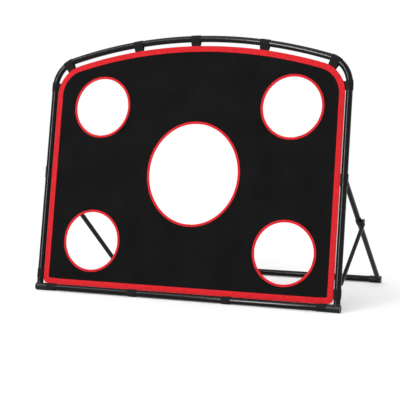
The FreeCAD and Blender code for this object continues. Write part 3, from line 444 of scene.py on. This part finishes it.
def outline(inset):
    """The sheet's outline, drawn in from the border's outer edge, anticlockwise from low left.
    Every inset gives as many points, so that outlines can be joined into a ribbon."""
    side = HALF_WIDTH - BORDER_SIDE_INSET - inset
    bottom = BORDER_BOTTOM + inset
    top = ARCH_RADIUS - BORDER_TOP_INSET - inset
    corner = TOP_CORNER - inset
    low = max(BOTTOM_CORNER - inset, SMALLEST_CORNER)
    out = side - corner
    up = ARCH_CENTRE + math.sqrt((top - corner) ** 2 - out ** 2)
    lean = math.atan2(up - ARCH_CENTRE, out)
    quarter = math.pi / 2
    steps = OUTLINE_STEPS
    parts = [
        [(x, bottom - sag(x)) for x in between(-side + low, side - low, steps["bottom"])],
        arc(side - low, bottom + low, low, -quarter, 0, steps["bottom corner"]),
        [(side, z) for z in between(bottom + low, up, steps["side"])],
        arc(out, up, corner, 0, lean, steps["top corner"]),
        arc(0, ARCH_CENTRE, top, lean, math.pi - lean, steps["top"])[1:-1],
        arc(-out, up, corner, math.pi - lean, math.pi, steps["top corner"]),
        [(-side, z) for z in between(up, bottom + low, steps["side"])],
        arc(-side + low, bottom + low, low, math.pi, math.pi + quarter, steps["bottom corner"]),
    ]
    return [point for part in parts for point in part]


def hole_outline(name, growth):
    """A hole's outline, drawn outward from its edge."""
    if name == "centre":
        return oval(*OVAL_CENTRE, OVAL_HALVES[0] + growth, OVAL_HALVES[1] + growth, OVAL_STEPS)
    return oval(*ROUND_HOLES[name], HOLE_RADIUS + growth, HOLE_RADIUS + growth, HOLE_STEPS)


def edge_distance(x, z):
    """How far a point is from the nearest edge of the sheet, roughly."""
    top = ARCH_RADIUS - BORDER_TOP_INSET - math.hypot(x, z - ARCH_CENTRE)
    nearest = min(HALF_WIDTH - BORDER_SIDE_INSET - abs(x), z - BORDER_BOTTOM + sag(x), top)
    for hole_x, hole_z in ROUND_HOLES.values():
        nearest = min(nearest, math.hypot(x - hole_x, z - hole_z) - HOLE_RADIUS)
    across, up = (x - OVAL_CENTRE[0]) / OVAL_HALVES[0], (z - OVAL_CENTRE[1]) / OVAL_HALVES[1]
    return min(nearest, (math.hypot(across, up) - 1) * min(OVAL_HALVES))


# The sheet

def relief(x, z):
    """How far the sheet stands back from its plane at a point."""
    height = HOLLOW_DEPTH * noise.noise(Vector((x * HOLLOWS_ACROSS, z * HOLLOWS_UP, HOLLOW_SEED)))
    for pull_x, pull_z in PULLS:
        reach = math.hypot(x - pull_x, z - pull_z)
        turn = math.atan2(z - pull_z, x - pull_x)
        crease = math.sin(turn * CREASES + pull_x * CREASE_SHIFT)
        height += CREASE_DEPTH * math.exp(-reach / CREASE_REACH) * crease
    return height * clamp((edge_distance(x, z) - FLAT_MARGIN) / RELIEF_FADE)


def grid():
    """Staggered points over the sheet, clear of its edges."""
    rows = int(FRAME_HEIGHT / GRID_STEP) + 1
    columns = int(HALF_WIDTH / GRID_STEP) + 1
    points = []
    for row in range(rows):
        for column in range(-columns, columns + 1):
            x, z = (column + row % 2 / 2) * GRID_STEP, row * GRID_STEP
            if edge_distance(x, z) > GRID_MARGIN:
                points.append((x, z))
    return points


def make_sheet(cloth):
    """The target sheet: a fine net of triangles between its edges, given a thickness."""
    points, edges = [], []
    for loop in [outline(SHEET_EDGE_INSET)] + [hole_outline(name, SHEET_EDGE_INSET) for name in HOLES]:
        first = len(points)
        points += loop
        edges += [(first + i, first + (i + 1) % len(loop)) for i in range(len(loop))]
    points += grid()
    flat, _, triangles, *_ = geometry.delaunay_2d_cdt([Vector(p) for p in points], edges, [], 1, 1e-6)
    kept = []
    for triangle in triangles:
        middle = sum((flat[i] for i in triangle), Vector((0, 0))) / 3
        if edge_distance(*middle) > 0.0:
            kept.append(tuple(reversed(triangle)))
    shaped = [(p.x, SHEET_BACK + relief(p.x, p.y), p.y) for p in flat]
    piece = make_piece("sheet_cloth", shaped, kept, cloth, [(p.x, p.y) for p in flat])
    thick = piece.modifiers.new("thickness", "SOLIDIFY")
    thick.thickness = SHEET_THICKNESS
    thick.offset = 0.0
    return piece


# Tapes and stitches

# The tape's section: how far in from its outer edge, and how far proud of the sheet's
# middle plane, as shares of its width and thickness. It is folded over the edge, puffs
# up between its two rows of stitches and is pulled down at them.
TAPE_SECTION = [(0.0, 0.35), (0.02, 0.75), (0.06, 0.95), (0.13, 0.80), (0.20, 0.95), (0.35, 1.0),
                (0.5, 1.0), (0.65, 1.0), (0.78, 0.95), (0.85, 0.78), (0.92, 0.92), (0.98, 0.85), (1.0, 0.6)]

# A stitch from end to end: shares of its length from its middle, and of its rise
STITCH_PROFILE = [(-0.5, 0.0), (-0.3, 1.0), (0.3, 1.0), (0.5, 0.0)]


def make_tape(name, line, width, cloth, seed):
    """A tape folded over an edge: line(inset) gives its run at a distance in from the fold."""
    front = [(share * width, -rise * TAPE_HALF_THICKNESS) for share, rise in TAPE_SECTION]
    section = front + [(inset, -back) for inset, back in reversed(front)]
    runs = {inset: line(inset) for inset, _ in section}
    rows, uvs = [], []
    for i, place in enumerate(along(line(width / 2))):
        ridge = 1 + RIDGE_SHARE * math.sin(place * RIDGE_TURN)
        row = []
        for inset, back in section:
            x, z = runs[inset][i]
            crumple = uneven(x, z, CRUMPLE, CRUMPLES, seed)
            bow = uneven(x, z, BOW, BOWS, seed + 5)
            row.append((x, SHEET_BACK + back * ridge + crumple + bow, z))
            uvs.append((place, inset + (0 if back < 0 else width)))
        rows.append(row)
    points, faces = ribbon(rows, True)
    return make_piece(name, points, faces, cloth, uvs)


def stitch(x, z, run_x, run_z, back, out):
    """One stitch on a face of the cloth: a low ridge that runs along a seam. out is its rise,
    toward the side that the face looks to."""
    points, faces = [], []
    for step, lift in STITCH_PROFILE:
        cx, cz = x + run_x * step * STITCH_LENGTH, z + run_z * step * STITCH_LENGTH
        half = STITCH_WIDTH / 2 if lift else STITCH_WIDTH / 4
        points.append((cx - run_z * half, back, cz + run_x * half))
        points.append((cx, back + out * lift, cz))
        points.append((cx + run_z * half, back, cz - run_x * half))
    for k in range(0, len(points) - 3, 3):
        sides = [(k, k + 1, k + 4, k + 3), (k + 1, k + 2, k + 5, k + 4)]
        faces += sides if out < 0 else [tuple(reversed(side)) for side in sides]
    return points, faces


def stitch_row(line, depth, pitch):
    """Stitches along a closed line, on both faces of the cloth."""
    places = along(line + line[:1])
    total = places[-1]
    count = int(total / pitch)
    points, faces = [], []
    segment = 0
    for i in range(count):
        middle = (i + 0.5) * total / count
        while places[segment + 1] < middle:
            segment += 1
        first, second = line[segment], line[(segment + 1) % len(line)]
        share = (middle - places[segment]) / (places[segment + 1] - places[segment])
        x, z = (a + (b - a) * share for a, b in zip(first, second))
        run_x, run_z = ((b - a) / math.dist(first, second) for a, b in zip(first, second))
        for face in (-1, 1):
            back = SHEET_BACK + face * depth
            new_points, new_faces = stitch(x, z, run_x, run_z, back, face * STITCH_RISE)
            faces += shifted(new_faces, len(points))
            points += new_points
    return points, faces


def make_stitches(name, lines, depth, pitch, cloth):
    """Rows of stitches as one piece."""
    points, faces = [], []
    for line in lines:
        new_points, new_faces = stitch_row(line, depth, pitch)
        faces += shifted(new_faces, len(points))
        points += new_points
    return make_piece(name, points, faces, cloth)


# Straps

# The webbing from edge to edge: shares of its half width, and of its half thickness
WEBBING_SECTION = [(-1.0, 0.45), (-0.975, 0.85), (-0.92, 1.0), (-0.5, 1.0), (0.0, 1.0), (0.5, 1.0),
                   (0.92, 1.0), (0.975, 0.85), (1.0, 0.45)]

# How far in from the tube's centre line a tongue stays straight, and where it starts to bend
TONGUE_STRAIGHT = 0.026
BEND_BLEND = 0.009


def strap_path(neck):
    """The middle line of a strap round a tube along z, as points in x and y: out along the
    tongue behind the border, round the tube, and back along the tongue on a second layer."""
    loop = TUBE_RADIUS + STRAP_CLEARANCE + STRAP_THICKNESS / 2
    front, back = TONGUE_BACK, TONGUE_BACK + STRAP_THICKNESS + LAYER_GAP
    tip, run = -(neck + STRAP_TONGUE), STRAP_TONGUE - TONGUE_EASE
    tongue = [tip + run * i / TONGUE_STEPS for i in range(TONGUE_STEPS + 1)]
    join = math.hypot(neck, (front + back) / 2)
    turn = math.acos(loop / join)
    start, end = math.pi + turn, 3 * math.pi - turn
    angles = [start + (end - start) * i / LOOP_STEPS for i in range(LOOP_STEPS + 1)]
    line = [(x, front) for x in tongue]
    line += [(loop * math.cos(angle), loop * math.sin(angle)) for angle in angles]
    line += [(x, back) for x in reversed(tongue)]
    return line


def bent(x, z):
    """Follows the corner bend for a strap that lies on it, except its tongue."""
    follow = clamp((x + TONGUE_STRAIGHT) / BEND_BLEND)
    angle = z / BEND_RADIUS
    bent_x = -BEND_RADIUS + (BEND_RADIUS + x) * math.cos(angle)
    bent_z = (BEND_RADIUS + x) * math.sin(angle)
    return x + (bent_x - x) * follow, z + (bent_z - z) * follow


def strap_mesh(seat, neck, bend_from, seed):
    """One webbing strap: seat turns it and puts it on its tube. The part of it beyond
    bend_from, a share of its half width, follows the corner bend."""
    section = [(share, fullness) for share, fullness in WEBBING_SECTION]
    section += [(share, -fullness) for share, fullness in reversed(WEBBING_SECTION)]
    line = strap_path(neck)
    rows, uvs = [], []
    for i, ((x, y), place) in enumerate(zip(line, along(line))):
        before, after = line[max(i - 1, 0)], line[min(i + 1, len(line) - 1)]
        run = Vector((after[0] - before[0], after[1] - before[1])).normalized()
        out = Vector((run.y, -run.x))
        row = []
        for share, fullness in section:
            wave = EDGE_WAVE * noise.noise(Vector((place * EDGE_WAVES, share, seed)))
            puff = PUFF * noise.noise(Vector((place * PUFFS, share * 2, seed + 3)))
            offset = fullness * STRAP_THICKNESS / 2 + max(puff, 0)
            px, py = x + out.x * offset, y + out.y * offset
            pz = share * (STRAP_WIDTH / 2 + wave)
            if share > bend_from:
                px, pz = bent(px, pz)
            row.append(seat @ Vector((px, py, pz)))
            uvs.append((place, share * STRAP_WIDTH / 2))
        rows.append(row)
    points, faces = ribbon(rows, False)
    size = len(section)
    ends = [tuple(reversed(range(size))), tuple(range(len(points) - size, len(points)))]
    return points, faces + ends, uvs


def seat_at(x, z, turn):
    """Puts a strap on a tube. turn is how far round from the arch's top the tube lies: a
    quarter turn for an upright, half a turn for the rail."""
    return Matrix.Translation((x, 0, z)) @ Matrix.Rotation(turn - math.pi / 2, 4, "Y")


def arch_seat(x):
    """The place of a strap on the arch, where its tube runs square to the arch's radius."""
    turn = math.asin(x / ARCH_RADIUS)
    return seat_at(x, ARCH_CENTRE + ARCH_RADIUS * math.cos(turn), turn)


def corner_seat(past_arch):
    """The place of a strap on the right-hand corner bend, by its turn past the arch's end."""
    turn = ARCH_SWEEP + past_arch
    return seat_at(BEND_CENTRE_OUT + BEND_RADIUS * math.sin(turn),
                   BEND_CENTRE_UP + BEND_RADIUS * math.cos(turn), turn)


def make_straps(name, seats, cloth):
    """Several straps as one piece. Each seat is a matrix, a neck length, where its bent part
    starts and whether it is mirrored to the left side."""
    points, faces, uvs = [], [], []
    for number, (seat, neck, bend_from, mirrored) in enumerate(seats):
        new_points, new_faces, new_uvs = strap_mesh(seat, neck, bend_from, number * 7.3)
        if mirrored:
            new_points = [Vector((-p.x, p.y, p.z)) for p in new_points]
            new_faces = [tuple(reversed(face)) for face in new_faces]
        faces += shifted(new_faces, len(points))
        points += new_points
        uvs += new_uvs
    return make_piece(name, points, faces, cloth, uvs)


def side_seats(mirrored):
    """The two straps on an upright: the upper one lies half on the corner bend."""
    return [(seat_at(HALF_WIDTH, up, math.pi / 2), BORDER_SIDE_INSET, bend_from, mirrored)
            for up, bend_from in ((BEND_CENTRE_UP, HALF_BENT), (LOWER_SIDE_STRAP_UP, STRAIGHT))]


def strap_groups():
    """The straps on each tube: the name of the piece, the solids it stands for, and its seats."""
    top = [(corner_seat(turn), CORNER_NECK, ALL_BENT, side == "left") for side, turn in CORNER_TURNS.items()]
    top += [(arch_seat(x), BORDER_TOP_INSET, STRAIGHT, False) for x in ARCH_STRAPS]
    low = [(seat_at(x, 0, math.pi), BORDER_BOTTOM, STRAIGHT, False) for x in RAIL_STRAPS]
    return [
        ("webbing_top", "top_straps", top),
        ("webbing_side_left", "side_straps_left", side_seats(True)),
        ("webbing_side_right", "side_straps_right", side_seats(False)),
        ("webbing_bottom", "bottom_straps", low),
    ]


# The fabric pieces

def make_border(red_cloth, red_thread):
    """The border's tape and its two seams."""
    tape = make_tape("border_tape", outline, BORDER_WIDTH, red_cloth, 1.0)
    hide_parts("border_binding")
    inset = BORDER_STITCHES["inset"]
    lines = [outline(inset), outline(BORDER_WIDTH - inset)]
    seam = make_stitches("border_stitches", lines, BORDER_STITCHES["depth"], BORDER_STITCHES["pitch"],
                         red_thread)
    return [tape, seam]


def make_hole_trim(number, name, red_cloth, red_thread):
    """A hole's tape and its one seam."""
    tape = make_tape("hole_tape_" + name, lambda inset: hole_outline(name, inset), HOLE_TAPE_WIDTH,
                     red_cloth, 20.0 + number)
    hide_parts("hole_binding_" + name)
    lines = [hole_outline(name, HOLE_TAPE_WIDTH - HOLE_STITCHES["inset"])]
    seam = make_stitches("hole_stitches_" + name, lines, HOLE_STITCHES["depth"], HOLE_STITCHES["pitch"],
                         red_thread)
    return [tape, seam]


def make_webbing(black_cloth):
    """The straps, one piece for each tube that they hang on."""
    webbing = []
    for name, stands_for, seats in strap_groups():
        straps = make_straps(name, seats, black_cloth)
        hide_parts(stands_for)
        webbing.append(straps)
    return webbing


def fabric():
    """Makes the sheet, its tapes, the straps and all their stitching."""
    red_cloth = ribbed_cloth("red_binding_tape", RED_SHADES, 0.0009, 0.08)
    black_cloth = ribbed_cloth("black_webbing", WEBBING_SHADES, 0.0014, 0.09)
    red_thread = thread()

    sheet = make_sheet(sheet_cloth())
    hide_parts("target_sheet")

    trims = make_border(red_cloth, red_thread)
    for number, name in enumerate(HOLES):
        trims += make_hole_trim(number, name, red_cloth, red_thread)
    webbing = make_webbing(black_cloth)

    for piece in [sheet, *trims, *webbing]:
        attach(piece, "frame")


def dress_solids():
    """Gives each solid its material, by the slot that the record names, and softens moulded
    edges."""
    finishes = {
        "black_tube": powder_coat(),
        "inner_steel": steel(),
        "moulded_fitting": moulded("moulded_nylon_gloss", 0.011, 0.30, 0.44, 0.00005),
        "moulded_bracket": moulded("moulded_nylon_matt", 0.013, 0.42, 0.58, 0.00008),
        "dark_fastener": fastener(),
    }
    for row in frame["record"]["subparts"]:
        slot = row["material_slot"]
        if slot not in finishes:
            continue
        solid = frame["nodes"][row["node"]]
        for holder in solid.material_slots:
            holder.material = finishes[slot]
        if slot in SOFT_EDGES:
            soft = solid.modifiers.new("soft_edges", "BEVEL")
            soft.width = SOFT_EDGES[slot]
            soft.segments = SOFT_EDGE_STEPS
            soft.limit_method = "ANGLE"
            soft.angle_limit = SOFT_EDGE_ANGLE


# The studio

def seen_rays(tree):
    """One for what the camera sees itself, in a reflection or through a clear piece."""
    rays = node(tree, "ShaderNodeLightPath").outputs
    direct = maths(tree, "MAXIMUM", rays["Is Camera Ray"], rays["Is Glossy Ray"])
    return maths(tree, "MAXIMUM", direct, rays["Is Transmission Ray"])


def pale_floor():
    """A pale matt floor whose lit parts go to white in the picture and whose shadows stay."""
    material = bpy.data.materials.new("pale_floor")
    material.use_nodes = True
    tree = material.node_tree
    shader = tree.nodes["Principled BSDF"]
    shader.inputs["Roughness"].default_value = 0.9
    shader.inputs["Specular IOR Level"].default_value = 0.0
    shader.inputs["Emission Color"].default_value = (1, 1, 1, 1)
    tree.links.new(shades(tree, spots(tree, 3), *FLOOR_SHADES), shader.inputs["Base Color"])
    tree.links.new(maths(tree, "MULTIPLY", seen_rays(tree), FLOOR_LIFT), shader.inputs["Emission Strength"])
    return material


def surround():
    """A world that is white to look at and lights the object at its own, lower level."""
    world = bpy.data.worlds.new("studio")
    bpy.context.scene.world = world
    world.use_nodes = True
    tree = world.node_tree
    mix = node(tree, "ShaderNodeMix", {"Factor": seen_rays(tree)}, data_type="RGBA")
    unseen, seen = 6, 7
    mix.inputs[unseen].default_value = (SURROUND, SURROUND, SURROUND, 1)
    mix.inputs[seen].default_value = (1, 1, 1, 1)
    tree.links.new(mix.outputs[2], tree.nodes["Background"].inputs["Color"])


def sun():
    """A soft light from overhead."""
    data = bpy.data.lights.new("overhead", "SUN")
    data.energy = SUN_POWER
    data.angle = SUN_ANGLE
    item = bpy.data.objects.new("overhead", data)
    item.rotation_euler = SUN_TILT
    bpy.context.scene.collection.objects.link(item)


def lamp(name, at, toward, size, power, only_shines):
    """A rectangular lamp."""
    data = bpy.data.lights.new(name, "AREA")
    data.shape = "RECTANGLE"
    data.size, data.size_y = size
    data.energy = power
    item = bpy.data.objects.new(name, data)
    item.location = at
    item.rotation_euler = (Vector(toward) - Vector(at)).to_track_quat("-Z", "Y").to_euler()
    item.visible_diffuse = not only_shines
    bpy.context.scene.collection.objects.link(item)


def studio():
    """A wide pale floor, a white surround, a soft overhead sun, three strip lamps, and two
    that draw the gleams along the tubes."""
    bpy.ops.mesh.primitive_plane_add(size=FLOOR_SIZE)
    floor = bpy.context.object
    floor.name = "floor"
    floor.data.materials.append(pale_floor())
    surround()
    sun()
    for values in LAMPS:
        lamp(**values)


def camera():
    """The photograph's view: level, from the right of the sheet and a little above its middle."""
    back = Vector((math.sin(VIEW_AZIMUTH) * math.cos(VIEW_ELEVATION),
                   -math.cos(VIEW_AZIMUTH) * math.cos(VIEW_ELEVATION),
                   math.sin(VIEW_ELEVATION)))
    data = bpy.data.cameras.new("view")
    data.sensor_width = VIEW_SENSOR
    data.lens = VIEW_LENS
    item = bpy.data.objects.new("view", data)
    item.location = VIEW_TARGET + back * VIEW_DISTANCE
    item.rotation_euler = (-back).to_track_quat("-Z", "Y").to_euler()
    bpy.context.scene.collection.objects.link(item)
    bpy.context.scene.camera = item


dress_solids()
fabric()
studio()
camera()
bpy.context.scene.view_settings.view_transform = "Standard"
